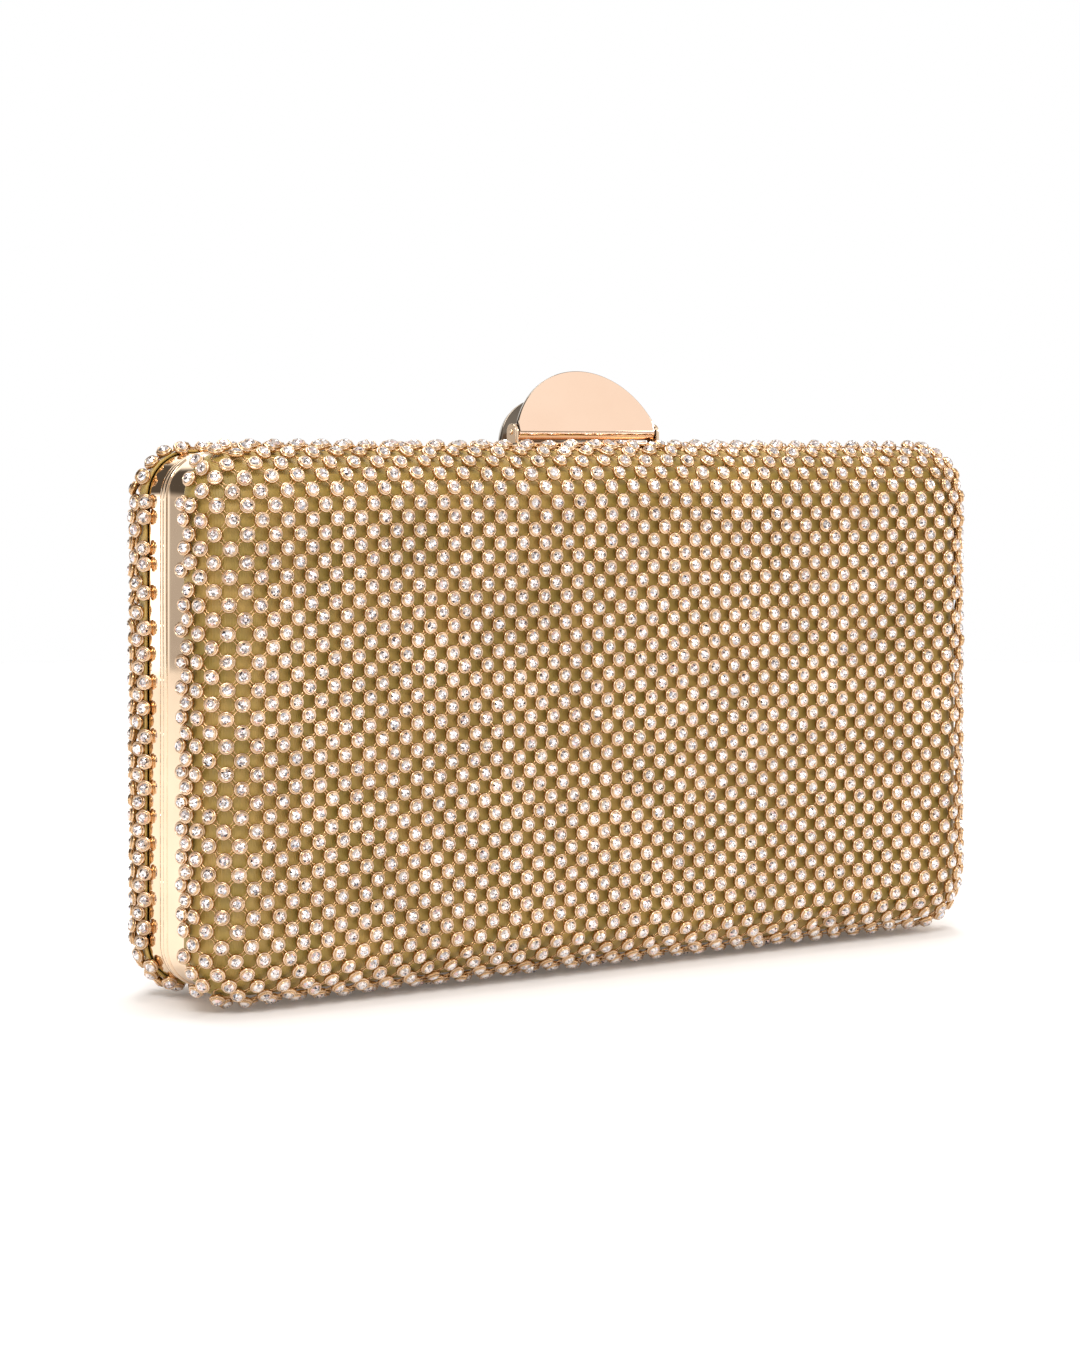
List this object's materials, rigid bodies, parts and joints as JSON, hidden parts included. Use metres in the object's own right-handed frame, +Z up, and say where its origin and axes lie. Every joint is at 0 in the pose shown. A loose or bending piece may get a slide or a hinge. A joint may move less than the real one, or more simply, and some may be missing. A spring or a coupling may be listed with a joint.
{
  "type": "evening bag",
  "caption": "Hard box clutch evening bag: two hinged half shells under rhinestone mesh, gold-plated frames and a half-disc press clasp on top.",
  "frame": {"origin": "middle of the footprint, on the surface the bag stands on", "axes": "+X to the right along the bag's width, -Y out of the front, +Z up; the seam between the halves is the plane y = 0.002"},
  "size_m": [0.2052, 0.0456, 0.1302],
  "materials": {
    "gold_plate": "mirror-polished pale gold plating",
    "rose_gold_plate": "mirror-polished rose gold plating",
    "rhinestone_mesh": "faceted clear stones in rose gold cups",
    "olive_satin": "olive-gold satin",
    "moulded_board": "matt moulded board",
    "champagne_lining": "champagne satin lining",
    "spring_steel": "plain spring steel"
  },
  "bodies": {
    "front_half": {"front_frame": "gold_plate", "front_stone_mesh": "rhinestone_mesh", "front_satin_cover": "olive_satin", "front_shell": "moulded_board", "front_lining": "champagne_lining", "clasp_base": "gold_plate", "clasp_pin": "gold_plate", "clasp_spring": "spring_steel", "clasp_screw_left": "spring_steel", "clasp_screw_right": "spring_steel", "hinge_left_front_leaf": "gold_plate", "hinge_right_front_leaf": "gold_plate", "hinge_left_pin": "gold_plate", "hinge_right_pin": "gold_plate", "hinge_left_front_rivet_1": "gold_plate", "hinge_left_front_rivet_2": "gold_plate", "hinge_right_front_rivet_1": "gold_plate", "hinge_right_front_rivet_2": "gold_plate"},
    "back_half": {"back_frame": "gold_plate", "back_stone_mesh": "rhinestone_mesh", "back_satin_cover": "olive_satin", "back_shell": "moulded_board", "back_lining": "champagne_lining", "slip_pocket": "champagne_lining", "rear_lug": "gold_plate", "keeper": "spring_steel", "lug_screw_left": "spring_steel", "lug_screw_right": "spring_steel", "hinge_left_back_leaf": "gold_plate", "hinge_right_back_leaf": "gold_plate", "hinge_left_back_rivet_1": "gold_plate", "hinge_left_back_rivet_2": "gold_plate", "hinge_right_back_rivet_1": "gold_plate", "hinge_right_back_rivet_2": "gold_plate"},
    "clasp_lever": {"clasp_lever": "rose_gold_plate", "clasp_hook": "spring_steel"}
  },
  "joints": [
    {"name": "case_hinge", "type": "hinge", "parent": "front_half", "child": "back_half", "pos_m": [0, 0.002, 0.002], "axis": [-1, 0, 0], "range_deg": [0, 65]},
    {"name": "clasp_press", "type": "hinge", "parent": "front_half", "child": "clasp_lever", "pos_m": [0, -0.0045, 0.1167], "axis": [-1, 0, 0], "range_deg": [0, 10], "stiffness_Nm_per_rad": 0.06, "springref_deg": -14.9}
  ]
}
